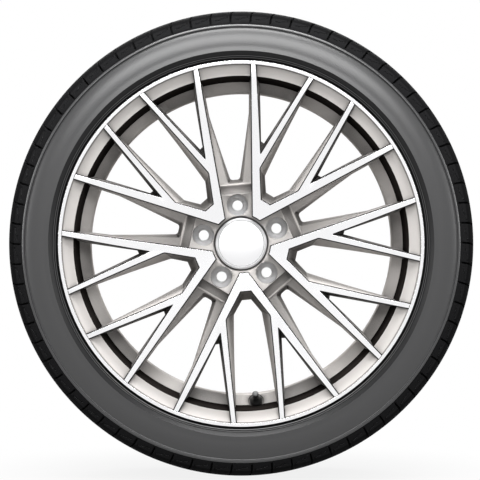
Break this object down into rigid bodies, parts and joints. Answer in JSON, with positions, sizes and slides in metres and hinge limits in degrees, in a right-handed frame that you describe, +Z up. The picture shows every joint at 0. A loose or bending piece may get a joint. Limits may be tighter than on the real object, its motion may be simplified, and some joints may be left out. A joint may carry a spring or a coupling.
{
  "type": "car wheel with tyre",
  "caption": "Low-profile road tyre on a split-spoke cast alloy wheel with a diamond-cut face, clip-in centre cap and snap-in rubber valve.",
  "frame": {"origin": "wheel's centre: the spin axis at the rim's centre plane", "axes": "+Y along the spin axis pointing inboard, so the styled face looks along -Y; +Z up"},
  "size_m": [0.6786, 0.252, 0.6784],
  "materials": {
    "tyre_rubber": "moulded, matt",
    "painted_alloy": "silver-grey paint with a bright machined face",
    "silver_cap": "satin silver paint",
    "valve_rubber": "moulded, satin",
    "brass": "turned",
    "spring_steel": "drawn wire",
    "black_plastic": "moulded"
  },
  "bodies": {
    "root": {"tyre": "tyre_rubber", "wheel": "painted_alloy", "centre_cap": "silver_cap", "valve_stem": "valve_rubber", "valve_tube": "brass", "valve_core": "brass", "valve_spring": "spring_steel"},
    "valve_pin": {"valve_pin": "brass"},
    "cap_seal": {"cap_seal": "valve_rubber"},
    "valve_cap": {"valve_cap": "black_plastic"}
  },
  "joints": [
    {"name": "pin_press", "type": "slide", "parent": "root", "child": "valve_pin", "axis": [0.0489, 0.8545, -0.5172], "range_m": [0, 0.0012], "stiffness_N_per_m": 500, "springref_m": -0.002, "deforming": ["valve_spring"]},
    {"name": "cap_travel", "type": "slide", "parent": "root", "child": "cap_seal", "axis": [-0.0489, -0.8545, 0.5172], "range_m": [0, 0.00476]},
    {"name": "cap_turn", "type": "hinge", "parent": "cap_seal", "child": "valve_cap", "pos_m": [0.02045, -0.09967, -0.21631], "axis": [-0.0489, -0.8545, 0.5172], "range_deg": [0, 2160]}
  ],
  "couplings": [
    {"joint": "cap_turn", "follows": "cap_travel", "rad_per_m": 7913.3}
  ]
}
